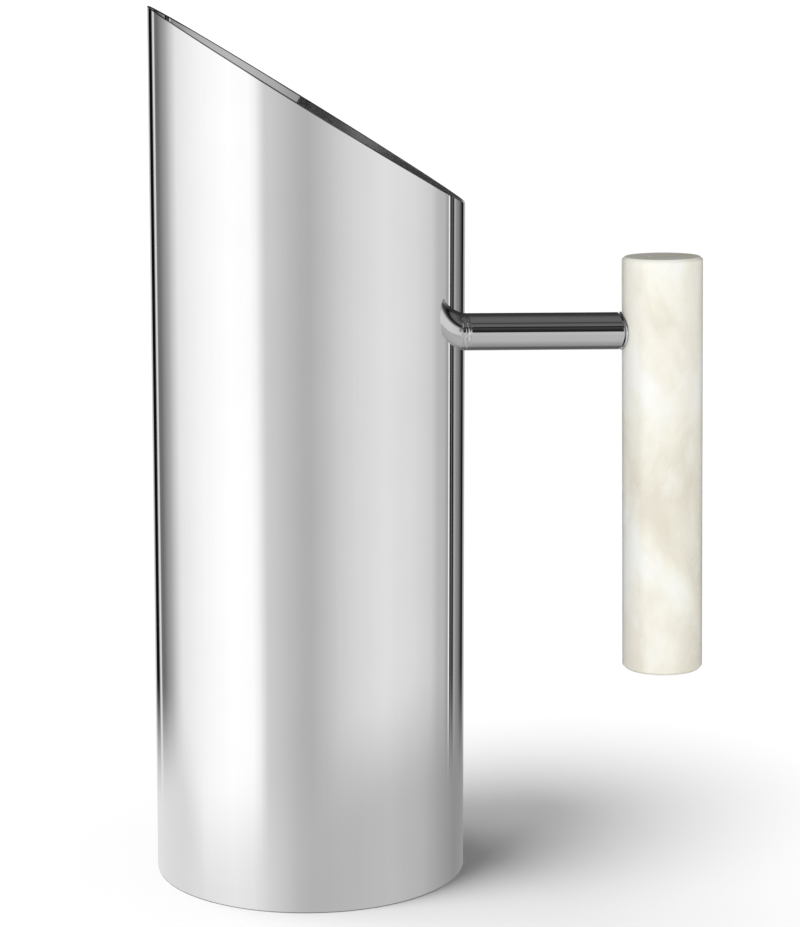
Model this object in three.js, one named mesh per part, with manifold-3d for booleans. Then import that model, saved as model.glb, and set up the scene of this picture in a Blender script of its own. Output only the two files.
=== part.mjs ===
// A polished stainless-steel water pitcher: a straight tube with a slanted mouth, a round bar
// for an arm, and an upright resin grip. Units are millimetres and +Z is up. The origin is the
// centre of the underside, the handle points along +X and the pouring tip along -X.

import * as THREE from "three";
import { mergeVertices } from "three/addons/utils/BufferGeometryUtils.js";
import Module from "manifold-3d";

const wasm = await Module();
wasm.setup();

// ---- Driving dimensions ----

const GAP = 0.3; // clearance kept between touching pieces

// Vessel
const BODY_RADIUS = 50;
const WALL = 1;
const TIP_HEIGHT = 279; // rim height at the pouring tip
const LOW_RIM_HEIGHT = 217; // rim height above the handle
const BASE_THICKNESS = 1.5;
const BASE_WELD_LEG = 2;

// Arm
const ARM_RADIUS = 6;
const ARM_HEIGHT = 175; // height of the arm's centre line
const SPIGOT_RADIUS = 4; // turned-down end that passes through the wall
const SPIGOT_PROUD = 0.8; // how far the spigot stands inside the vessel
const ARM_WELD_WIDTH = 2.2;

// Grip
const GRIP_RADIUS = 13;
const GRIP_AXIS_X = 114; // the grip's centre line at the arm's height
const GRIP_ABOVE_ARM = 24;
const GRIP_BELOW_ARM = 111;
const GRIP_CHAMFER = 0.8;
const GRIP_LEAN = THREE.MathUtils.degToRad(0.75); // its foot leans away from the vessel

// Hidden fastening and the ring at the grip
const RING_RADIUS = 6.2;
const RING_THICKNESS = 0.6;
const THREAD_RADIUS = 3; // M6
const THREAD_PITCH = 1;
const THREAD_DEPTH = 0.5;
const STUD_IN_ARM = 12;
const INSERT_RADIUS = 4.5;
const INSERT_LENGTH = 12.5;
const INSERT_GROOVE = 0.5;

// Facets round each piece
const BODY_SEGMENTS = 120;
const BAR_SEGMENTS = 48;
const GRIP_SEGMENTS = 72;

// ---- Derived dimensions ----

const BORE_RADIUS = BODY_RADIUS - WALL; // inside of the vessel's wall
const THREAD_BORE_RADIUS = THREAD_RADIUS + GAP;
const GRIP_FACE_X = GRIP_AXIS_X - GRIP_RADIUS;
const RING_SEAT_RADIUS = GRIP_RADIUS + GAP;
const ARM_SEAT_RADIUS = RING_SEAT_RADIUS + RING_THICKNESS + GAP;
const ARM_END_X = GRIP_AXIS_X - ARM_SEAT_RADIUS; // shortest line of the arm's coped end
const INSERT_START_X = GRIP_FACE_X + 2 * GAP;
const INSERT_END_X = INSERT_START_X + INSERT_LENGTH;
const STUD_START_X = ARM_END_X - STUD_IN_ARM;
const STUD_END_X = INSERT_END_X - 2 * GAP;

// ---- Materials ----

const steel = (color, roughness) => new THREE.MeshStandardMaterial({ color, roughness, metalness: 1 });
const polishedSteel = steel(0xd6d7d8, 0.06);
const satinSteel = steel(0xbfc0bf, 0.3);
const brass = steel(0xc7a45a, 0.35);
const pearlResin = new THREE.MeshStandardMaterial({ color: 0xf2eee2, roughness: 0.22, metalness: 0 });

// ---- Helpers ----

// Turns a profile of [radius, height] points round the +Z axis.
function turn(profile, segments) {
  const points = profile.map(([radius, height]) => new THREE.Vector2(radius, height));
  return new THREE.LatheGeometry(points, segments).rotateX(Math.PI / 2);
}

// Turns a profile of [radius, x] points round a line along +X at the arm's height.
function turnAlongArm(profile, segments = BAR_SEGMENTS) {
  return turn(profile, segments).rotateY(Math.PI / 2).translate(0, 0, ARM_HEIGHT);
}

// A plain round bar along the arm's line, from one x to another.
function armCylinder(radius, fromX, toX, segments = BAR_SEGMENTS) {
  return turnAlongArm([[0, fromX], [radius, fromX], [radius, toX], [0, toX]], segments);
}

// A vertical cylinder of the vessel's axis, tall enough to cut anything at the arm's height.
function vesselCylinder(radius) {
  const low = ARM_HEIGHT - 2 * ARM_RADIUS;
  const high = ARM_HEIGHT + 2 * ARM_RADIUS;
  return turn([[0, low], [radius, low], [radius, high], [0, high]], 2 * BODY_SEGMENTS);
}

// Stands a piece made round +Z, with z = 0 at the arm's height, on the grip's leaning line.
function onGripLine(geometry) {
  return geometry.rotateY(-GRIP_LEAN).translate(GRIP_AXIS_X, 0, ARM_HEIGHT);
}

// A cylinder of the grip's axis, tall enough to cut anything at the arm's height.
function gripCylinder(radius) {
  const half = 2 * ARM_RADIUS;
  return onGripLine(turn([[0, -half], [radius, -half], [radius, half], [0, half]], GRIP_SEGMENTS));
}

function toSolid(geometry) {
  const bare = geometry.clone();
  bare.deleteAttribute("normal");
  bare.deleteAttribute("uv");
  const merged = mergeVertices(bare, 1e-4);
  return new wasm.Manifold(
    new wasm.Mesh({
      numProp: 3,
      vertProperties: new Float32Array(merged.attributes.position.array),
      triVerts: new Uint32Array(merged.index.array),
    }),
  );
}

function toGeometry(solid) {
  const mesh = solid.getMesh();
  const geometry = new THREE.BufferGeometry();
  geometry.setAttribute("position", new THREE.BufferAttribute(mesh.vertProperties, 3));
  geometry.setIndex(new THREE.BufferAttribute(mesh.triVerts, 1));
  geometry.computeVertexNormals();
  return geometry;
}

const group = new THREE.Group();

function addPiece(name, geometry, material) {
  const mesh = new THREE.Mesh(geometry, material);
  mesh.name = name;
  group.add(mesh);
}

// ---- Vessel ----

// Height of the planar, slanted rim over a point at x.
function rimHeight(x) {
  const middle = (TIP_HEIGHT + LOW_RIM_HEIGHT) / 2;
  const slope = (TIP_HEIGHT - LOW_RIM_HEIGHT) / (2 * BODY_RADIUS);
  return middle - slope * x;
}

function bodyShell() {
  const profile = [
    [BORE_RADIUS, 0],
    [BODY_RADIUS, 0],
    [BODY_RADIUS, TIP_HEIGHT],
    [BORE_RADIUS, TIP_HEIGHT],
    [BORE_RADIUS, 0],
  ];
  const tube = turn(profile, BODY_SEGMENTS);
  const position = tube.attributes.position;
  for (let i = 0; i < position.count; i += 1) {
    if (position.getZ(i) > LOW_RIM_HEIGHT) {
      position.setZ(i, rimHeight(position.getX(i)));
    }
  }
  const spigotHole = armCylinder(SPIGOT_RADIUS + GAP, BORE_RADIUS - 5, BODY_RADIUS + 5);
  return toGeometry(toSolid(tube).subtract(toSolid(spigotHole)));
}

function baseDisc() {
  const radius = BORE_RADIUS - GAP;
  return turn([[0, 0], [radius, 0], [radius, BASE_THICKNESS], [0, BASE_THICKNESS]], BODY_SEGMENTS);
}

// The run of weld that joins the disc to the wall, all round the inside corner.
function baseWeldBead() {
  const outer = BORE_RADIUS - GAP;
  const foot = BASE_THICKNESS + GAP;
  const corner = [outer, foot];
  const hollowMiddle = [outer - 0.38 * BASE_WELD_LEG, foot + 0.38 * BASE_WELD_LEG];
  const profile = [[outer - BASE_WELD_LEG, foot], corner, [outer, foot + BASE_WELD_LEG], hollowMiddle];
  return turn([...profile, profile[0]], BODY_SEGMENTS);
}

// ---- Arm ----

// A solid bar, coped to the vessel at one end and to the grip's ring at the other.
function handleArm() {
  const bar = toSolid(armCylinder(ARM_RADIUS, BODY_RADIUS - 3, GRIP_AXIS_X - GRIP_RADIUS / 2));
  const spigot = toSolid(armCylinder(SPIGOT_RADIUS, BORE_RADIUS - SPIGOT_PROUD, BODY_RADIUS + 5));
  const tappedBore = toSolid(armCylinder(THREAD_BORE_RADIUS, STUD_START_X - GAP, GRIP_AXIS_X));
  const coped = bar
    .subtract(toSolid(vesselCylinder(BODY_RADIUS + GAP)))
    .subtract(toSolid(gripCylinder(ARM_SEAT_RADIUS)));
  return toGeometry(coped.add(spigot).subtract(tappedBore));
}

// The ring of weld inside the vessel that holds the spigot.
function armWeldBead() {
  const inner = SPIGOT_RADIUS + GAP;
  const outer = inner + ARM_WELD_WIDTH;
  const crown = BORE_RADIUS - GAP - SPIGOT_PROUD;
  const wall = BODY_RADIUS;
  const profile = [
    [inner, wall],
    [inner, crown + 0.2],
    [inner + 0.3 * ARM_WELD_WIDTH, crown],
    [inner + 0.7 * ARM_WELD_WIDTH, crown + 0.2],
    [outer, crown + 0.6],
    [outer, wall],
    [inner, wall],
  ];
  const ring = toSolid(turnAlongArm(profile));
  return toGeometry(ring.intersect(toSolid(vesselCylinder(BORE_RADIUS - GAP))));
}

// ---- Grip and its fastening ----

// A thin saddle-shaped ring between the arm's end and the grip.
function gripSeatRing() {
  const blank = toSolid(armCylinder(RING_RADIUS, GRIP_FACE_X - 4, GRIP_AXIS_X - 5));
  const hole = toSolid(armCylinder(THREAD_BORE_RADIUS, GRIP_FACE_X - 6, GRIP_AXIS_X));
  const front = toSolid(gripCylinder(RING_SEAT_RADIUS + RING_THICKNESS));
  const back = toSolid(gripCylinder(RING_SEAT_RADIUS));
  return toGeometry(blank.intersect(front).subtract(back).subtract(hole));
}

// A headless stud. Its thread is drawn as plain ridges, one for each turn.
function gripStud() {
  const root = THREAD_RADIUS - THREAD_DEPTH;
  const turns = Math.floor((STUD_END_X - STUD_START_X) / THREAD_PITCH);
  const profile = [[0, STUD_START_X], [root, STUD_START_X]];
  for (let i = 0; i < turns; i += 1) {
    const start = STUD_START_X + i * THREAD_PITCH;
    profile.push([THREAD_RADIUS, start + 0.5 * THREAD_PITCH], [root, start + THREAD_PITCH]);
  }
  profile.push([0, STUD_START_X + turns * THREAD_PITCH]);
  return turnAlongArm(profile, 24);
}

// A brass sleeve bonded in the grip's side, with two grooves that hold the glue.
function gripInsert() {
  const groove = INSERT_RADIUS - INSERT_GROOVE;
  const third = INSERT_LENGTH / 3;
  const profile = [[THREAD_BORE_RADIUS, INSERT_START_X], [INSERT_RADIUS, INSERT_START_X]];
  for (const centre of [INSERT_START_X + third, INSERT_START_X + 2 * third]) {
    profile.push([INSERT_RADIUS, centre - 1], [groove, centre - 0.5]);
    profile.push([groove, centre + 0.5], [INSERT_RADIUS, centre + 1]);
  }
  profile.push([INSERT_RADIUS, INSERT_END_X], [THREAD_BORE_RADIUS, INSERT_END_X], profile[0]);
  return turnAlongArm(profile, 36);
}

// A solid resin cylinder with a blind bore in its side for the insert.
function grip() {
  const edge = GRIP_RADIUS - GRIP_CHAMFER;
  const cylinder = onGripLine(
    turn(
      [
        [0, -GRIP_BELOW_ARM],
        [edge, -GRIP_BELOW_ARM],
        [GRIP_RADIUS, -GRIP_BELOW_ARM + GRIP_CHAMFER],
        [GRIP_RADIUS, GRIP_ABOVE_ARM - GRIP_CHAMFER],
        [edge, GRIP_ABOVE_ARM],
        [0, GRIP_ABOVE_ARM],
      ],
      GRIP_SEGMENTS,
    ),
  );
  const bore = armCylinder(INSERT_RADIUS + GAP, GRIP_FACE_X - 5, INSERT_END_X + GAP);
  return toGeometry(toSolid(cylinder).subtract(toSolid(bore)));
}

// ---- Assembly ----

addPiece("body_shell", bodyShell(), polishedSteel);
addPiece("base_disc", baseDisc(), satinSteel);
addPiece("base_weld_bead", baseWeldBead(), satinSteel);
addPiece("handle_arm", handleArm(), polishedSteel);
addPiece("arm_weld_bead", armWeldBead(), satinSteel);
addPiece("grip_seat_ring", gripSeatRing(), polishedSteel);
addPiece("grip_stud", gripStud(), satinSteel);
addPiece("grip_insert", gripInsert(), brass);
addPiece("grip", grip(), pearlResin);

export default group;
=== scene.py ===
"""A mirror-polished steel water pitcher with a pearl-resin grip, built round its CAD frame.

Blender units are metres. +Z is up, the handle points along +X and the pouring tip along -X.
"""

import math

import bmesh
import bpy
from mathutils import Matrix, Vector, noise


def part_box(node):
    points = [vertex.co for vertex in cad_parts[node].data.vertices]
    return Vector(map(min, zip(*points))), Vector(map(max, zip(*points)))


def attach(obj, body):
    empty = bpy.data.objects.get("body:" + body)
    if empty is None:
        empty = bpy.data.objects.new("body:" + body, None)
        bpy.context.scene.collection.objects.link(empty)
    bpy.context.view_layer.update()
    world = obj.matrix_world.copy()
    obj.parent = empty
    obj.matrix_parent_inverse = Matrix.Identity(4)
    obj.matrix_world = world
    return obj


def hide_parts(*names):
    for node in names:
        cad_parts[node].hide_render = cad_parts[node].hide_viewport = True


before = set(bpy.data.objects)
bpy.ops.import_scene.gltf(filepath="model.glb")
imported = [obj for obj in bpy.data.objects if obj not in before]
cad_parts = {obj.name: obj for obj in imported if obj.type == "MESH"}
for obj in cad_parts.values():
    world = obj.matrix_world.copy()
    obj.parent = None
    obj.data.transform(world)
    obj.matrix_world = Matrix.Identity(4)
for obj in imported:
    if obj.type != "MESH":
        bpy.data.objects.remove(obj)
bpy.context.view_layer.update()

MM = 0.001

# ---- Dimensions, from the frame's boxes where they show them ----

SHELL_LOW, SHELL_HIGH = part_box("body_shell")
ARM_LOW, ARM_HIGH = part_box("handle_arm")
GRIP_LOW, GRIP_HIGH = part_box("grip")
DISC_LOW, DISC_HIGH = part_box("base_disc")
RING_LOW, RING_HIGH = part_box("grip_seat_ring")
WELD_LOW, WELD_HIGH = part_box("base_weld_bead")
ARM_WELD_LOW, ARM_WELD_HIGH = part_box("arm_weld_bead")

BODY_RADIUS = (SHELL_HIGH.y - SHELL_LOW.y) / 2
WALL = 1.0 * MM
BORE_RADIUS = BODY_RADIUS - WALL
TIP_HEIGHT = SHELL_HIGH.z
LOW_RIM_HEIGHT = max(
    v.co.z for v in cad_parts["body_shell"].data.vertices if v.co.x > BODY_RADIUS - 0.1 * MM
)
RIM_MIDDLE = (TIP_HEIGHT + LOW_RIM_HEIGHT) / 2
RIM_SLOPE = (TIP_HEIGHT - LOW_RIM_HEIGHT) / (2 * BODY_RADIUS)
BASE_THICKNESS = DISC_HIGH.z - DISC_LOW.z

ARM_RADIUS = (ARM_HIGH.y - ARM_LOW.y) / 2
ARM_HEIGHT = (ARM_LOW.z + ARM_HIGH.z) / 2
SPIGOT_END_X = ARM_LOW.x
SPIGOT_RADIUS = 4.0 * MM
BORE_CLEARANCE = 0.3 * MM

GRIP_RADIUS = (GRIP_HIGH.y - GRIP_LOW.y) / 2
GRIP_LEAN = math.radians(0.75)
GRIP_MIDDLE = (GRIP_LOW + GRIP_HIGH) / 2
GRIP_LENGTH = (GRIP_HIGH.z - GRIP_LOW.z) / math.cos(GRIP_LEAN)

STUD_BORE_RADIUS = 3.3 * MM
STUD_BORE_START_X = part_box("grip_stud")[0].x - BORE_CLEARANCE
INSERT_BORE_RADIUS = 4.8 * MM
INSERT_BORE_END_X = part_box("grip_insert")[1].x + BORE_CLEARANCE

# Small shapes that the CAD model leaves out
RIM_ROUND = 0.48 * MM  # rounding of the cut rim's two edges
FOOT_ROUND = 0.5 * MM  # rounding where the wall meets the table
SUPPORT = 0.25 * MM  # distance from a rounded edge to the loop that holds the flat beside it
ARM_END_ROUND = 0.3 * MM
RING_BACK = GRIP_RADIUS + 0.25 * MM  # the seat ring's faces and the arm's end, from the grip's axis
RING_FRONT = RING_BACK + 0.55 * MM
ARM_SEAT = RING_FRONT + 0.4 * MM
GRIP_CHAMFER = 0.9 * MM
GRIP_EDGE_ROUND = 0.2 * MM

SEAM_WIDTH = 2.4 * MM  # the dressed weld seam round the arm's root, widest at its front and back
SEAM_DEPTH = 0.26 * MM
RIPPLE = 0.05 * MM  # height of the ripples on the base's weld
CUTTER_REACH = 5.0 * MM  # how far a cutter goes past the surface it cuts

POLISH_DEPTH = 6.0 * MM  # how far down inside the rim the mirror polish reaches
POLISH_FADE = 9.0 * MM  # the distance over which it then turns to satin
POLISH_RAGGED = 6.0 * MM  # how unevenly its lower edge runs

# Columns round each piece
BODY_COLUMNS = 288
ARM_COLUMNS = 128
GRIP_COLUMNS = 160
CUTTER_COLUMNS = 64

# Which faces belong to a round wall: the limits on where they are and how they lean
ON_AXIS = 1e-6
LEVEL_ENOUGH = 0.03
SQUARE_ENOUGH = 0.995


# ---- Mesh helpers ----


def arc(centre_a, centre_b, radius, start, end, steps):
    """Points of an arc in a two-axis section, from one angle in degrees to another."""
    angles = [math.radians(start + (end - start) * i / steps) for i in range(steps + 1)]
    return [(centre_a + radius * math.cos(a), centre_b + radius * math.sin(a)) for a in angles]


def new_piece(name, mesh_data, material):
    """Makes a mesh a smooth-shaded piece on the root body, with its material."""
    for polygon in mesh_data.polygons:
        polygon.use_smooth = True
    piece = bpy.data.objects.new(name, mesh_data)
    bpy.context.collection.objects.link(piece)
    piece.data.materials.append(material)
    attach(piece, "root")
    return piece


def turned_mesh(name, rows, columns, point):
    """A mesh of one ring of points for each row, where point(row, angle) places them.

    A row whose first item is 0 is a single point on the axis. If no row is, the last ring
    joins the first, as in a ring-shaped solid.
    """
    bm = bmesh.new()
    angles = [2 * math.pi * i / columns for i in range(columns)]
    rings = []
    for row in rows:
        spots = [0.0] if row[0] == 0 else angles
        rings.append([bm.verts.new(point(row, angle)) for angle in spots])
    pairs = list(zip(rings, rings[1:]))
    if len(rings[0]) > 1 and len(rings[-1]) > 1:
        pairs.append((rings[-1], rings[0]))
    for first, second in pairs:
        for i in range(columns):
            j = (i + 1) % columns
            corners = [first[i % len(first)], first[j % len(first)]]
            corners += [second[j % len(second)], second[i % len(second)]]
            bm.faces.new(list(dict.fromkeys(corners)))
    bmesh.ops.recalc_face_normals(bm, faces=bm.faces)
    mesh = bpy.data.meshes.new(name)
    bm.to_mesh(mesh)
    bm.free()
    return mesh


def cut(mesh, cutter_mesh):
    """Returns the mesh with the cutter's volume taken away."""
    body = bpy.data.objects.new("cut_body", mesh)
    cutter = bpy.data.objects.new("cut_tool", cutter_mesh)
    for item in (body, cutter):
        bpy.context.collection.objects.link(item)
    boolean = body.modifiers.new("cut", "BOOLEAN")
    boolean.operation = "DIFFERENCE"
    boolean.solver = "EXACT"
    boolean.object = cutter
    made = bpy.data.meshes.new_from_object(body.evaluated_get(bpy.context.evaluated_depsgraph_get()))
    for item in (body, cutter):
        bpy.data.objects.remove(item)
    return made


def arm_line_cylinder(name, radius, from_x, to_x):
    """A plain cylinder along the arm's line, used as a cutter."""

    def point(row, angle):
        r, x = row
        return (x, r * math.cos(angle), ARM_HEIGHT + r * math.sin(angle))

    rows = [(0, from_x), (radius, from_x), (radius, to_x), (0, to_x)]
    return turned_mesh(name, rows, CUTTER_COLUMNS, point)


def true_round_normals(mesh, origin, axis):
    """Gives the faces of a cylinder about an axis the exact normals of the round surface."""
    mesh.set_sharp_from_angle(angle=math.radians(40))
    normals = [(0, 0, 0)] * len(mesh.loops)
    for polygon in mesh.polygons:
        radial = polygon.center - origin
        radial -= axis * radial.dot(axis)
        if radial.length < ON_AXIS or abs(polygon.normal.dot(axis)) > LEVEL_ENOUGH:
            continue
        facing = polygon.normal.dot(radial.normalized())
        if abs(facing) < SQUARE_ENOUGH:
            continue
        for loop in polygon.loop_indices:
            spoke = mesh.vertices[mesh.loops[loop].vertex_index].co - origin
            spoke -= axis * spoke.dot(axis)
            normals[loop] = tuple(spoke.normalized() * math.copysign(1, facing))
    mesh.normals_split_custom_set(normals)


def on_body_cylinder(radius, y):
    """The x of the handle side of a cylinder about the vessel's axis."""
    return math.sqrt(radius * radius - y * y)


def grip_axis_x(z):
    """The x of the leaning grip's centre line at a height."""
    return GRIP_MIDDLE.x + math.tan(GRIP_LEAN) * (GRIP_MIDDLE.z - z)


# ---- Material helpers ----


class Graph:
    """Adds shader nodes to a tree, with their settings and links in one call."""

    def __init__(self, tree):
        self.tree = tree
        tree.nodes.clear()

    def add(self, kind, inputs=None, **settings):
        node = self.tree.nodes.new(kind)
        for key, value in settings.items():
            setattr(node, key, value)
        for key, value in (inputs or {}).items():
            if isinstance(value, bpy.types.NodeSocket):
                self.tree.links.new(value, node.inputs[key])
            else:
                node.inputs[key].default_value = value
        return node

    def math(self, operation, *values):
        inputs = dict(enumerate(values))
        return self.add("ShaderNodeMath", inputs, operation=operation).outputs[0]

    def product(self, a, b):
        return self.math("MULTIPLY", a, b)

    def spread(self, value, from_low, from_high, to_low, to_high, smooth=False):
        """The value, mapped from one range to another and held at its ends."""
        inputs = {"Value": value, "From Min": from_low, "From Max": from_high}
        inputs.update({"To Min": to_low, "To Max": to_high})
        kind = "SMOOTHSTEP" if smooth else "LINEAR"
        return self.add("ShaderNodeMapRange", inputs, interpolation_type=kind).outputs["Result"]

    def rise(self, value, start, end, smooth=False):
        """0 up to the start, and 1 past the end."""
        return self.spread(value, start, end, 0.0, 1.0, smooth)

    def fall(self, value, start, end, smooth=False):
        """1 up to the start, and 0 past the end."""
        return self.spread(value, start, end, 1.0, 0.0, smooth)

    def mix(self, factor, a, b):
        """A blend of two colours. The numbers are the places of the node's colour sockets."""
        node = self.add("ShaderNodeMix", data_type="RGBA")
        for socket, value in ((node.inputs[0], factor), (node.inputs[6], a), (node.inputs[7], b)):
            if isinstance(value, bpy.types.NodeSocket):
                self.tree.links.new(value, socket)
            else:
                socket.default_value = value
        return node.outputs[2]

    def place(self):
        """Where the shaded point is on its piece, in metres."""
        return self.add("ShaderNodeTexCoord").outputs["Object"]

    def split(self, vector):
        return self.add("ShaderNodeSeparateXYZ", {"Vector": vector}).outputs

    def off_axis(self, place):
        """The distance from the vessel's axis."""
        x, y, _ = self.split(place)
        return self.math("SQRT", self.math("ADD", self.product(x, x), self.product(y, y)))

    def noise(self, vector, scale, detail=2.0, roughness=0.5):
        inputs = {"Vector": vector, "Scale": scale, "Detail": detail, "Roughness": roughness}
        return self.add("ShaderNodeTexNoise", inputs).outputs["Fac"]

    def stretched(self, vector, scale):
        """The coordinates, scaled by a different amount along each axis."""
        return self.add("ShaderNodeMapping", {"Vector": vector, "Scale": scale}).outputs["Vector"]

    def bump(self, height, strength, distance):
        inputs = {"Height": height, "Strength": strength, "Distance": distance}
        return self.add("ShaderNodeBump", inputs).outputs["Normal"]

    def ramp(self, factor, stops):
        """A colour ramp from at most 32 (position, colour) stops."""
        node = self.add("ShaderNodeValToRGB", {"Fac": factor})
        band = node.color_ramp
        band.interpolation = "LINEAR"
        while len(band.elements) > 1:
            band.elements.remove(band.elements[-1])
        band.elements[0].position = stops[0][0]
        band.elements[0].color = stops[0][1]
        for position, colour in stops[1:]:
            band.elements.new(position).color = colour
        return node.outputs["Color"]


def new_material(name):
    material = bpy.data.materials.new(name)
    material.use_nodes = True
    return material, Graph(material.node_tree)


def close_material(graph, inputs):
    """Ends a material with a Principled shader."""
    shader = graph.add("ShaderNodeBsdfPrincipled", inputs)
    graph.add("ShaderNodeOutputMaterial", {"Surface": shader.outputs["BSDF"]})


def close_metal(graph, tone, roughness, normal=None, metallic=1.0):
    """Ends a material as bare metal."""
    inputs = {"Base Color": tone, "Metallic": metallic, "Roughness": roughness}
    if normal is not None:
        inputs["Normal"] = normal
    close_material(graph, inputs)


def grey(level):
    return (level, level, level, 1.0)


def linear(shown):
    """The light level that shows on screen as a brightness from 0 to 1."""
    return shown / 12.92 if shown <= 0.04045 else ((shown + 0.055) / 1.055) ** 2.4


def shown_grey(shown):
    return grey(linear(shown))


# ---- Materials ----

# Noise scales are in waves per metre.
NOISE_RANGE = (0.3, 0.7)  # where most of a noise's values lie
POLISH_BUMP = 0.02  # strength of the relief that buffing leaves
POLISH_RELIEF = 0.01 * MM
INSIDE_PAINTED_SHADE = 0.52  # painted shade: the mirror band inside the rim is given a darker tone than the buffed outside
SATIN_RELIEF = 20.0  # depth of the satin's streaks, in buffing lines
SATIN_METALLIC = 0.74  # under 1, so that the satin scatters some even light

# The resin's clouds, from cream to white, and what lies over them
PEARL_TONES = [
    (0.36, (0.79, 0.75, 0.635, 1)),
    (0.45, (0.87, 0.84, 0.73, 1)),
    (0.53, (0.935, 0.915, 0.815, 1)),
    (0.62, (0.985, 0.98, 0.925, 1)),
]
PEARL_BLUSH = (0.88, 0.815, 0.72, 1)
PEARL_WISP = (0.975, 0.98, 0.955, 1)
PEARL_SWIRL = 0.028


def mirror_polish(g, place):
    """Mirror polish with the haze and fine lines of buffing: its tone, roughness and lines."""
    haze = g.noise(place, 34.0, 3.0, 0.55)
    lines = g.noise(g.stretched(place, (900.0, 900.0, 14.0)), 1.0, 2.0, 0.6)
    worn = g.math("ADD", g.product(haze, 0.7), g.product(lines, 0.3))
    tone = g.mix(g.rise(worn, *NOISE_RANGE), grey(0.815), grey(0.785))
    return tone, g.spread(worn, *NOISE_RANGE, 0.022, 0.05), lines


def polished_steel():
    """Mirror-polished stainless steel."""
    material, g = new_material("polished_steel")
    tone, roughness, lines = mirror_polish(g, g.place())
    close_metal(g, tone, roughness, g.bump(lines, POLISH_BUMP, POLISH_RELIEF))
    return material


def satin_reach(g, place, streaks):
    """Two masks for the vessel's wall: its inside, and the satin part of that."""
    inside = g.math("LESS_THAN", g.off_axis(place), BORE_RADIUS + 0.2 * WALL)
    x, _, z = g.split(place)
    rim = g.math("SUBTRACT", RIM_MIDDLE, g.product(x, RIM_SLOPE))
    depth = g.math("SUBTRACT", rim, z)
    uneven = g.math("MULTIPLY_ADD", streaks, POLISH_RAGGED, depth)
    reached = g.rise(uneven, POLISH_DEPTH, POLISH_DEPTH + POLISH_FADE, True)
    return inside, g.product(inside, reached)


def vessel_steel():
    """The vessel's wall: a mirror outside and just inside the rim, with painted shade darkening the
    inside band, and satin further down.
    """
    material, g = new_material("vessel_steel")
    place = g.place()
    outside_tone, smooth, lines = mirror_polish(g, place)
    streaks = g.noise(g.stretched(place, (700.0, 700.0, 9.0)), 1.0, 3.0, 0.6)
    inside, satin = satin_reach(g, place, streaks)
    # Painted shade: inside the rim, the mirror's colour is swapped for a darker grey.
    mirror_tone_with_painted_shade = g.mix(inside, outside_tone, grey(INSIDE_PAINTED_SHADE))
    satin_tone = g.mix(g.rise(streaks, *NOISE_RANGE), grey(0.66), grey(0.78))
    rough = g.spread(streaks, *NOISE_RANGE, 0.30, 0.42)
    added = g.product(satin, g.math("SUBTRACT", rough, smooth))
    height = g.math("MULTIPLY_ADD", satin, g.product(streaks, SATIN_RELIEF), lines)
    close_metal(
        g,
        g.mix(satin, mirror_tone_with_painted_shade, satin_tone),
        g.math("ADD", smooth, added),
        g.bump(height, POLISH_BUMP, POLISH_RELIEF),
        g.spread(satin, 0.0, 1.0, 1.0, SATIN_METALLIC),
    )
    return material


def satin_steel(name, centre_level, bump_distance, rings_per_metre):
    """Satin steel with the fine rings that a disc sander leaves round the vessel's axis."""
    material, g = new_material(name)
    place = g.place()
    rings = g.add(
        "ShaderNodeTexNoise",
        {"W": g.product(g.off_axis(place), rings_per_metre), "Scale": 1.0, "Detail": 3.0},
        noise_dimensions="1D",
    ).outputs["Fac"]
    haze = g.noise(place, 60.0, 3.0)
    level = g.math("ADD", g.product(rings, 0.6), g.product(haze, 0.4))
    tone = g.mix(level, grey(centre_level * 0.86), grey(centre_level * 1.12))
    roughness = g.spread(level, 0.25, 0.75, 0.22, 0.38)
    close_metal(g, tone, roughness, g.bump(rings, 0.35, bump_distance))
    return material


def weld_steel():
    """A dressed weld: satin steel with a trace of straw heat tint."""
    material, g = new_material("weld_steel")
    place = g.place()
    grain = g.noise(place, 900.0, 4.0, 0.6)
    tint = g.noise(place, 70.0, 2.0)
    tone = g.mix(g.rise(tint, 0.4, 0.7), (0.6, 0.6, 0.59, 1), (0.56, 0.52, 0.45, 1))
    roughness = g.spread(grain, *NOISE_RANGE, 0.24, 0.42)
    close_metal(g, tone, roughness, g.bump(grain, 0.3, 0.05 * MM))
    return material


def machined_metal(name, dark, light, roughness):
    """A turned metal part, with fine rings across the arm's line."""
    material, g = new_material(name)
    rings = g.noise(g.stretched(g.place(), (9000.0, 120.0, 120.0)), 1.0, 2.0)
    spread = g.spread(rings, *NOISE_RANGE, roughness * 0.8, roughness * 1.2)
    close_metal(g, g.mix(rings, dark, light), spread)
    return material


def pearl_figure(g, place):
    """Mother-of-pearl clouds, swirled and drawn out upwards: the clouds and their colour."""
    flow = g.stretched(place, (1.0, 1.0, 0.55))
    inputs = {"Vector": flow, "Scale": 26.0, "Detail": 2.0}
    warp = g.add("ShaderNodeTexNoise", inputs).outputs["Color"]
    middle = (0.5, 0.5, 0.5)
    shift = g.add("ShaderNodeVectorMath", {0: warp, 1: middle}, operation="SUBTRACT").outputs[0]
    amount = g.add("ShaderNodeVectorMath", {0: shift, 3: PEARL_SWIRL}, operation="SCALE").outputs[0]
    swirled = g.add("ShaderNodeVectorMath", {0: flow, 1: amount}, operation="ADD").outputs[0]
    clouds = g.noise(swirled, 42.0, 5.0, 0.55)
    wisps = g.noise(swirled, 120.0, 3.0, 0.5)
    blush = g.noise(g.stretched(place, (1.0, 1.0, 0.7)), 31.0, 2.0)
    rosy = g.mix(g.spread(blush, 0.52, 0.72, 0.0, 0.55), g.ramp(clouds, PEARL_TONES), PEARL_BLUSH)
    return clouds, g.mix(g.spread(wisps, 0.56, 0.74, 0.0, 0.5), rosy, PEARL_WISP)


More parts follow.
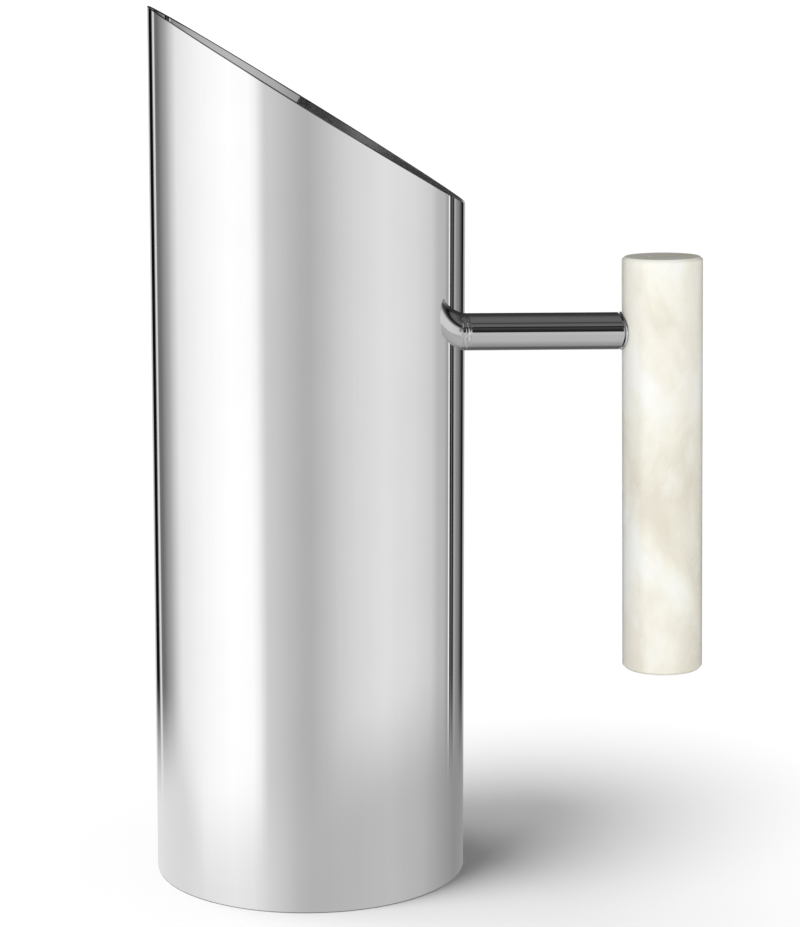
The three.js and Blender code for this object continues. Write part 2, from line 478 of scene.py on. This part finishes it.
def pearl_resin():
    """Cast resin with soft mother-of-pearl clouds under a polished surface."""
    material, g = new_material("pearl_resin")
    clouds, pearly = pearl_figure(g, g.place())
    close_material(
        g,
        {
            "Base Color": pearly,
            "Roughness": g.spread(clouds, *NOISE_RANGE, 0.3, 0.2),
            "IOR": 1.5,
            "Coat Weight": 0.35,
            "Coat Roughness": 0.06,
            "Subsurface Weight": 0.25,
            "Subsurface Radius": (1.0, 0.9, 0.75),
            "Subsurface Scale": 0.002,
        },
    )
    return material


# ---- Vessel ----


def rim_height(x):
    """Height of the slanted rim over a point at x."""
    return RIM_MIDDLE - RIM_SLOPE * x


def build_shell(material):
    """The tube. Each row is (radius, fraction of the way up, height added at the top or foot)."""
    outer, inner = BODY_RADIUS, BORE_RADIUS
    foot = arc(outer - FOOT_ROUND, FOOT_ROUND, FOOT_ROUND, -90, 0, 5)
    rows = [(r, 0, z) for r, z in foot]
    rows.append((outer, 0, FOOT_ROUND + SUPPORT))
    rows += [(outer, i / 12, 0) for i in range(1, 12)]
    rows.append((outer, 1, -RIM_ROUND - SUPPORT))
    rows += [(r, 1, z) for r, z in arc(outer - RIM_ROUND, -RIM_ROUND, RIM_ROUND, 0, 90, 6)]
    rows += [(r, 1, z) for r, z in arc(inner + RIM_ROUND, -RIM_ROUND, RIM_ROUND, 90, 180, 6)]
    rows.append((inner, 1, -RIM_ROUND - SUPPORT))
    rows += [(inner, i / 12, 0) for i in range(11, 0, -1)]
    rows.append((inner, 0, 2 * SUPPORT))
    rows.append((inner, 0, 0))

    def point(row, angle):
        radius, up, extra = row
        x, y = radius * math.cos(angle), radius * math.sin(angle)
        return (x, y, up * rim_height(x) + extra)

    mesh = turned_mesh("vessel_shell", rows, BODY_COLUMNS, point)
    hole_radius = SPIGOT_RADIUS + BORE_CLEARANCE
    hole = arm_line_cylinder(
        "spigot_hole", hole_radius, inner - CUTTER_REACH, outer + CUTTER_REACH
    )
    mesh = cut(mesh, hole)
    true_round_normals(mesh, Vector(), Vector((0, 0, 1)))
    piece = new_piece("vessel_shell", mesh, material)
    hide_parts("body_shell")


def build_base(material):
    """The bottom disc, with a broken edge."""
    radius = BORE_RADIUS - 0.02 * MM
    edge = 0.2 * MM
    rows = [
        (0, 0),
        (radius * 0.5, 0),
        (radius - edge - SUPPORT, 0),
        (radius - edge, 0),
        (radius, edge),
        (radius, BASE_THICKNESS),
        (radius - SUPPORT, BASE_THICKNESS),
        (radius * 0.5, BASE_THICKNESS),
        (0, BASE_THICKNESS),
    ]

    def point(row, angle):
        return (row[0] * math.cos(angle), row[0] * math.sin(angle), row[1])

    mesh = turned_mesh("vessel_base", rows, BODY_COLUMNS, point)
    mesh.set_sharp_from_angle(angle=math.radians(30))
    piece = new_piece("vessel_base", mesh, material)
    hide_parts("base_disc")


def build_base_weld(material):
    """A fillet of weld in the inside corner, with the small ripples of its run."""
    leg = WELD_HIGH.z - WELD_LOW.z
    outer = BORE_RADIUS
    foot = BASE_THICKNESS
    ripples = 180
    fillet = [(outer - leg, foot), (outer, foot), (outer, foot + leg)]
    fillet += arc(outer - 1.15 * leg, foot + 1.15 * leg, 1.16 * leg, -8, -82, 8)

    def point(row, angle):
        radius, z = row
        on_face = 0.0 if row in fillet[:3] else 1.0
        wave = on_face * RIPPLE * math.cos(ripples * angle)
        return ((radius - wave) * math.cos(angle), (radius - wave) * math.sin(angle), z + wave)

    mesh = turned_mesh("base_weld", fillet, 4 * ripples, point)
    mesh.set_sharp_from_angle(angle=math.radians(50))
    piece = new_piece("base_weld", mesh, material)
    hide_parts("base_weld_bead")


# ---- Arm ----


def build_arm(material):
    """The bar. Each row is (radius, rule, x), where the rule says what its x is measured from."""
    face = BODY_RADIUS - 0.03 * MM
    middle_start = BODY_RADIUS + 3 * MM
    middle_end = grip_axis_x(ARM_HEIGHT) - ARM_SEAT - 1.5 * MM
    rows = [
        (0, "x", SPIGOT_END_X),
        (SPIGOT_RADIUS - 0.3 * MM, "x", SPIGOT_END_X),
        (SPIGOT_RADIUS, "x", SPIGOT_END_X + 0.3 * MM),
        (SPIGOT_RADIUS, "body", face),
        (ARM_RADIUS, "body", face),
    ]
    rows += [(ARM_RADIUS, "seam", i / 16) for i in range(17)]
    rows += [(ARM_RADIUS, "x", middle_start + (middle_end - middle_start) * i / 8) for i in range(9)]
    rows.append((ARM_RADIUS, "grip", ARM_SEAT + ARM_END_ROUND + SUPPORT))
    for r, back in arc(ARM_RADIUS - ARM_END_ROUND, 0, ARM_END_ROUND, 0, -90, 4):
        rows.append((r, "grip", ARM_SEAT + ARM_END_ROUND + back))
    rows.append((ARM_RADIUS - ARM_END_ROUND - SUPPORT, "grip", ARM_SEAT))
    rows.append((STUD_BORE_RADIUS, "grip", ARM_SEAT))
    rows.append((STUD_BORE_RADIUS, "x", STUD_BORE_START_X))
    rows.append((0, "x", STUD_BORE_START_X))

    def point(row, angle):
        radius, rule, value = row
        side = abs(math.cos(angle))
        if rule == "seam":
            worked = noise.noise(Vector((value * 2.5, angle * 3.0, 1.7)))
            ridges = math.sin(math.pi * value) * math.cos(4 * math.pi * value + 2.5 * worked)
            radius += SEAM_DEPTH * side * ridges
        y, z = radius * math.cos(angle), ARM_HEIGHT + radius * math.sin(angle)
        if rule == "seam":
            reach = 0.05 * MM + value * (0.3 * MM + SEAM_WIDTH * side)
            return (on_body_cylinder(face, y) + reach, y, z)
        if rule == "body":
            return (on_body_cylinder(value, y), y, z)
        if rule == "grip":
            return (grip_axis_x(z) - math.sqrt(value * value - y * y), y, z)
        return (value, y, z)

    mesh = turned_mesh("arm_bar", rows, ARM_COLUMNS, point)
    true_round_normals(mesh, Vector((0, 0, ARM_HEIGHT)), Vector((1, 0, 0)))
    piece = new_piece("arm_bar", mesh, material)
    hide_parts("handle_arm")


def build_arm_weld(material):
    """The ring of weld round the spigot, on the curved inside of the wall."""
    inner = SPIGOT_RADIUS + 0.02 * MM
    width = (ARM_WELD_HIGH.y - ARM_WELD_LOW.y) / 2 - inner
    crown = 0.9 * MM
    ripples = 26
    rows = [(inner + width, 0.0)]
    rows += [
        (inner + width / 2 * (1 + math.cos(a)), crown * math.sin(a))
        for a in (math.pi * i / 10 for i in range(1, 10))
    ]
    rows += [(inner, 0.0)]

    def point(row, angle):
        radius, height = row
        height *= 1 + 0.12 * math.cos(ripples * angle)
        y, z = radius * math.cos(angle), ARM_HEIGHT + radius * math.sin(angle)
        return (on_body_cylinder(BORE_RADIUS, y) - height, y, z)

    mesh = turned_mesh("arm_weld", rows, 8 * ripples, point)
    mesh.set_sharp_from_angle(angle=math.radians(60))
    piece = new_piece("arm_weld", mesh, material)
    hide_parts("arm_weld_bead")


# ---- Grip ----


def build_seat_ring(material):
    """The thin saddle ring. Each row is (radius, distance from the grip's axis)."""
    radius = (RING_HIGH.y - RING_LOW.y) / 2
    edge = (RING_FRONT - RING_BACK) / 2
    rows = [(STUD_BORE_RADIUS, RING_BACK), (radius - edge - SUPPORT, RING_BACK)]
    rows += arc(radius - edge, (RING_BACK + RING_FRONT) / 2, edge, -90, 90, 6)
    rows += [(radius - edge - SUPPORT, RING_FRONT), (STUD_BORE_RADIUS, RING_FRONT)]

    def point(row, angle):
        r, distance = row
        y, z = r * math.cos(angle), ARM_HEIGHT + r * math.sin(angle)
        return (grip_axis_x(z) - math.sqrt(distance * distance - y * y), y, z)

    mesh = turned_mesh("seat_ring", rows, ARM_COLUMNS, point)
    mesh.set_sharp_from_angle(angle=math.radians(50))
    piece = new_piece("seat_ring", mesh, material)
    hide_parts("grip_seat_ring")


def build_grip(material):
    """The resin cylinder, chamfered at both ends, with a blind bore in its side."""
    half = GRIP_LENGTH / 2 - GRIP_RADIUS * math.tan(GRIP_LEAN) * 0.9
    inset = GRIP_CHAMFER
    soft = GRIP_EDGE_ROUND
    quarter = [
        (0, half),
        (GRIP_RADIUS * 0.6, half),
        (GRIP_RADIUS - inset - soft - SUPPORT, half),
        (GRIP_RADIUS - inset - soft, half),
        (GRIP_RADIUS - inset - soft * 0.3, half - soft * 0.1),
        (GRIP_RADIUS - inset + soft * 0.4, half - soft * 0.5),
        (GRIP_RADIUS - soft * 0.5, half - inset + soft * 0.4),
        (GRIP_RADIUS - soft * 0.1, half - inset - soft * 0.3),
        (GRIP_RADIUS, half - inset - soft),
        (GRIP_RADIUS, half - inset - soft - SUPPORT),
    ]
    side = [(GRIP_RADIUS, half * (1 - i / 12)) for i in range(1, 24)]
    rows = quarter + side + [(r, -z) for r, z in reversed(quarter)]
    lean = Matrix.Translation(GRIP_MIDDLE) @ Matrix.Rotation(-GRIP_LEAN, 4, "Y")

    def point(row, angle):
        return lean @ Vector((row[0] * math.cos(angle), row[0] * math.sin(angle), row[1]))

    mesh = turned_mesh("pearl_grip", rows, GRIP_COLUMNS, point)
    bore = arm_line_cylinder(
        "insert_bore", INSERT_BORE_RADIUS, GRIP_LOW.x - CUTTER_REACH, INSERT_BORE_END_X
    )
    mesh = cut(mesh, bore)
    axis = (lean.to_3x3() @ Vector((0, 0, 1))).normalized()
    true_round_normals(mesh, GRIP_MIDDLE, axis)
    piece = new_piece("pearl_grip", mesh, material)
    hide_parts("grip")


def finish_node(node, material):
    """Gives a CAD node that stays its better material."""
    for material_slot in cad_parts[node].material_slots:
        material_slot.material = material


# ---- Studio ----

# What the polished steel reflects, level with the vessel's wall: (azimuth, brightness shown).
# Azimuth is in degrees from the camera's side (0), by way of the handle's side (90).
STUDIO_LEFT = [
    (-180, 0.06),
    (-175, 0.30),
    (-171, 0.78),
    (-166, 0.74),
    (-162.5, 0.05),
    (-152, 0.05),
    (-149, 0.80),
    (-146.5, 0.86),
    (-144, 0.42),
    (-138, 0.42),
    (-131, 0.55),
    (-124, 0.65),
    (-118, 0.77),
    (-110, 0.89),
    (-100, 0.92),
    (-82, 0.965),
    (-60, 1.0),
    (-44, 0.99),
    (-39, 0.95),
    (-32, 0.80),
    (-24, 0.77),
    (-16, 0.735),
    (-6, 0.695),
    (0, 0.69),
]
STUDIO_RIGHT = [
    (0, 0.69),
    (13, 0.75),
    (20, 0.79),
    (32, 0.83),
    (55, 0.875),
    (80, 0.85),
    (100, 0.80),
    (108, 0.72),
    (117, 0.70),
    (121.5, 0.60),
    (123.2, 0.62),
    (123.6, 0.97),
    (125, 0.97),
    (125.4, 0.02),
    (127.3, 0.02),
    (128.2, 0.38),
    (129.4, 0.38),
    (129.9, 0.02),
    (132.0, 0.02),
    (132.6, 0.52),
    (134.3, 0.66),
    (138, 0.54),
    (144, 0.47),
    (147, 0.36),
    (150.5, 0.25),
    (153, 0.03),
    (157, 0.03),
    (161, 0.62),
    (170, 0.70),
    (175, 0.30),
    (180, 0.06),
]

# The same, for directions that meet the table close to the vessel's foot.
TABLE_LEFT = [
    (-180, 0.56),
    (-174, 0.82),
    (-150, 0.85),
    (-110, 0.84),
    (-59, 0.90),
    (-44, 0.88),
    (-30, 0.81),
    (-10, 0.72),
    (0, 0.70),
]
TABLE_RIGHT = [
    (0, 0.70),
    (10, 0.70),
    (60, 0.73),
    (90, 0.70),
    (110, 0.63),
    (135, 0.55),
    (165, 0.56),
    (180, 0.56),
]

# Over the horizon, by elevation in degrees: a dim wall, a dark gap, then the ceiling.
OVERHEAD = [
    (0, 0.07),
    (4, 0.12),
    (12, 0.13),
    (19, 0.19),
    (25, 0.24),
    (28, 0.24),
    (31, 0.06),
    (34, 0.10),
    (38, 0.37),
    (45, 0.395),
    (52, 0.34),
    (57, 0.25),
    (60, 0.25),
    (65, 0.36),
    (75, 0.375),
    (90, 0.375),
]
BEHIND_LEVEL = 0.20  # the ceiling's brightness behind the pitcher, low down
UNDER_LEVEL = 0.34  # the table's, behind the pitcher and steeply below
STRAIGHT_DOWN = 0.56  # the table's, straight below
STEEL_LEVEL = 0.80  # the share of light that the steel gives back
AMBIENT = 0.50  # the even light on whatever isn't a mirror
BACKDROP = 1.1  # over 1, so that what the camera sees is plain white
FLOOR_TONE = 0.5
FLOOR_REACH = 6.0
FLOOR_DROP = 0.05 * MM  # keeps the floor clear of the foot

# Where each part of the studio gives way to the next: pairs of degrees, from the start of a
# change to its end. All azimuths but the table edge's count from the camera's side either way.
HORIZON = (1.0, 2.5)
TABLE_EDGE_AZIMUTHS = (-110.0, 120.0)  # the table's far edge is lowest on the left,
TABLE_EDGE_ELEVATIONS = (-17.0, -14.4)
FAR_LEFT_AZIMUTHS = (-86.0, -112.0)  # but rises again at the far left
FAR_LEFT_RISE = (0.0, 2.3)
TABLE_EDGE_BLUR = (0.0, 2.9)
SHADED_AZIMUTHS = (120.0, 142.0)
SHADED_ELEVATIONS = (-26.0, -46.0)
STEEP_AZIMUTHS = (60.0, 120.0)  # straight below starts sooner in front than behind
STEEP_ELEVATIONS = (-45.0, -66.0)
BEHIND_AZIMUTHS = (95.0, 125.0)
BEHIND_ELEVATIONS = (45.0, 85.0)
SIDE_CARD_FRONT = (26.0, 40.0)  # the tall side cards
SIDE_CARD_BACK = (108.0, 122.0)
SIDE_CARD_TOP = (13.0, 27.0)

# Lamps: name, azimuth, elevation, strength, and how wide they look in degrees
TABLE_LAMPS = [("table_key", -58, 64, 4.05, 26), ("table_back", -118, 66, 1.35, 26)]
PITCHER_LAMP = ("fill", -42, 30, 1.46, 80)

CAMERA_PLACE = (-0.0178, -0.8383, 0.284)
CAMERA_DOWN = 7.83  # degrees down, and to the right, of straight along +Y
CAMERA_RIGHT = 3.22
CAMERA_LENS = 102.6
CAMERA_SHIFT = -0.12


def compass(g):
    """The azimuth and the elevation of a direction, in degrees."""
    x, y, z = g.split(g.add("ShaderNodeTexCoord").outputs["Generated"])
    azimuth = g.math("DEGREES", g.math("ARCTAN2", x, g.product(y, -1.0)))
    return azimuth, g.math("DEGREES", g.math("ARCSINE", z))


def round_the_room(g, azimuth, left_stops, right_stops):
    """The brightness all round, from a list of stops for each side."""
    left = [((a + 180) / 180, shown_grey(level)) for a, level in left_stops]
    right = [(a / 180, shown_grey(level)) for a, level in right_stops]
    left_half = g.ramp(g.rise(azimuth, -180.0, 0.0), left)
    right_half = g.ramp(g.rise(azimuth, 0.0, 180.0), right)
    return g.mix(g.math("GREATER_THAN", azimuth, 0.0), left_half, right_half)


def below_horizon(g, azimuth, off_centre, elevation, walls):
    """The walls down to the table's far edge, and then the table."""
    near_foot = round_the_room(g, azimuth, TABLE_LEFT, TABLE_RIGHT)
    far_left = g.spread(azimuth, *FAR_LEFT_AZIMUTHS, *FAR_LEFT_RISE)
    front_edge = g.spread(azimuth, *TABLE_EDGE_AZIMUTHS, *TABLE_EDGE_ELEVATIONS, True)
    under_edge = g.math("SUBTRACT", g.math("ADD", front_edge, far_left), elevation)
    at_back = g.rise(off_centre, *SHADED_AZIMUTHS)
    shaded = g.product(at_back, g.rise(elevation, *SHADED_ELEVATIONS, True))
    table = g.mix(shaded, near_foot, shown_grey(UNDER_LEVEL))
    low = g.mix(g.rise(under_edge, *TABLE_EDGE_BLUR, True), walls, table)
    turn_down = g.spread(off_centre, *STEEP_AZIMUTHS, *STEEP_ELEVATIONS)
    return g.mix(g.rise(elevation, turn_down, -90.0, True), low, shown_grey(STRAIGHT_DOWN))


def above_horizon(g, off_centre, elevation, walls):
    """The ceiling, dimmer behind, with the tall cards of the walls at the sides."""
    stops = [(e / 90, shown_grey(level)) for e, level in OVERHEAD]
    overhead = g.ramp(g.rise(elevation, 0.0, 90.0), stops)
    behind = g.rise(off_centre, *BEHIND_AZIMUTHS)
    low_behind = g.product(behind, g.fall(elevation, *BEHIND_ELEVATIONS))
    ceiling = g.mix(low_behind, overhead, shown_grey(BEHIND_LEVEL))
    beside = g.rise(off_centre, *SIDE_CARD_FRONT, True)
    in_front = g.fall(off_centre, *SIDE_CARD_BACK, True)
    under_top = g.fall(elevation, *SIDE_CARD_TOP, True)
    card = g.product(g.product(beside, in_front), under_top)
    return g.mix(card, ceiling, walls)


def build_world():
    """A studio that the steel reflects, a plain backdrop for the camera, and even light."""
    world = bpy.data.worlds.new("studio")
    bpy.context.scene.world = world
    world.use_nodes = True
    world.cycles.sampling_method = "NONE"
    g = Graph(world.node_tree)
    azimuth, elevation = compass(g)
    off_centre = g.math("ABSOLUTE", azimuth)
    walls = round_the_room(g, azimuth, STUDIO_LEFT, STUDIO_RIGHT)
    below = below_horizon(g, azimuth, off_centre, elevation, walls)
    above = above_horizon(g, off_centre, elevation, walls)
    seen = g.mix(g.rise(elevation, *HORIZON), below, above)

    ray = g.add("ShaderNodeLightPath").outputs
    lights = [(seen, 1 / STEEL_LEVEL), (grey(1.0), AMBIENT), (grey(1.0), BACKDROP)]
    reflected, even, backdrop = [
        g.add("ShaderNodeBackground", {"Color": colour, "Strength": strength}).outputs[0]
        for colour, strength in lights
    ]
    choice = {0: ray["Is Glossy Ray"], 1: even, 2: reflected}
    lit = g.add("ShaderNodeMixShader", choice).outputs[0]
    choice = {0: ray["Is Camera Ray"], 1: lit, 2: backdrop}
    shown = g.add("ShaderNodeMixShader", choice).outputs[0]
    g.add("ShaderNodeOutputWorld", {"Surface": shown})


def build_floor():
    """A plain pale table top. The steel reflects the studio's table in its place."""
    bm = bmesh.new()
    bmesh.ops.create_grid(bm, x_segments=1, y_segments=1, size=FLOOR_REACH)
    mesh = bpy.data.meshes.new("floor")
    bm.to_mesh(mesh)
    bm.free()
    floor = bpy.data.objects.new("floor", mesh)
    bpy.context.collection.objects.link(floor)
    floor.location.z = -FLOOR_DROP
    floor.visible_glossy = False
    material, g = new_material("table_white")
    close_material(g, {"Base Color": grey(FLOOR_TONE), "Roughness": 1.0, "Specular IOR Level": 0.0})
    mesh.materials.append(material)
    return floor


def add_sun(name, azimuth, elevation, strength, spread):
    """A broad, distant light. Azimuth 0 is the camera's side, and 90 the handle's side."""
    light = bpy.data.lights.new(name, "SUN")
    light.energy = strength
    light.angle = math.radians(spread)
    lamp = bpy.data.objects.new(name, light)
    a, e = math.radians(azimuth), math.radians(elevation)
    source = Vector((math.sin(a) * math.cos(e), -math.cos(a) * math.cos(e), math.sin(e)))
    lamp.rotation_mode = "QUATERNION"
    lamp.rotation_quaternion = source.to_track_quat("Z", "Y")
    lamp.visible_glossy = False
    bpy.context.collection.objects.link(lamp)
    return lamp


def link_light(lamp, lit, blockers):
    """Makes a lamp light only some objects, and only some objects cast its shadows."""
    linking = lamp.light_linking
    linking.receiver_collection = bpy.data.collections.new(lamp.name + "_lights")
    linking.blocker_collection = bpy.data.collections.new(lamp.name + "_blockers")
    for item in lit:
        linking.receiver_collection.objects.link(item)
    for item in blockers:
        linking.blocker_collection.objects.link(item)


def light_scene(floor):
    """Lamps for the table, where only the vessel casts a shadow, and one for the pitcher."""
    vessel = bpy.data.objects["vessel_shell"]
    for lamp in TABLE_LAMPS:
        link_light(add_sun(*lamp), [floor], [vessel])
    pieces = [item for item in bpy.data.objects if item.type == "MESH" and item is not floor]
    link_light(add_sun(*PITCHER_LAMP), pieces, pieces)


def leave_out_of_mirrors():
    """Keeps the grip, and what is inside it, out of the steel's reflections."""
    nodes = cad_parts
    for item in (bpy.data.objects["pearl_grip"], nodes["grip_insert"], nodes["grip_stud"]):
        item.visible_glossy = False


def build_camera():
    """A long lens, a little over the rim's height and just left of the vessel's axis."""
    data = bpy.data.cameras.new("camera")
    data.lens = CAMERA_LENS
    data.shift_y = CAMERA_SHIFT
    data.clip_start, data.clip_end = 0.01, 50.0
    camera = bpy.data.objects.new("camera", data)
    camera.location = CAMERA_PLACE
    down, right = math.radians(CAMERA_DOWN), math.radians(CAMERA_RIGHT)
    camera.rotation_euler = (math.pi / 2 - down, 0, -right)
    bpy.context.collection.objects.link(camera)
    bpy.context.scene.camera = camera


# ---- Build ----


def build_pieces():
    """The pitcher's seven pieces, and the finishes of the two CAD parts that stay."""
    steel = polished_steel()
    build_shell(vessel_steel())
    build_base(satin_steel("satin_steel", 0.6, 0.02 * MM, 4200.0))
    weld = weld_steel()
    build_base_weld(weld)
    build_arm(steel)
    build_arm_weld(weld)
    build_seat_ring(steel)
    build_grip(pearl_resin())
    finish_node("grip_stud", machined_metal("stud_steel", grey(0.42), grey(0.56), 0.3))
    brass = machined_metal("insert_brass", (0.62, 0.43, 0.18, 1), (0.76, 0.58, 0.3, 1), 0.3)
    finish_node("grip_insert", brass)


def main():
    build_pieces()
    build_world()
    light_scene(build_floor())
    leave_out_of_mirrors()
    build_camera()
    scene = bpy.context.scene
    scene.view_settings.view_transform = "Standard"
    scene.cycles.caustics_reflective = True
    scene.cycles.caustics_refractive = False
    scene.cycles.glossy_bounces = 10


main()
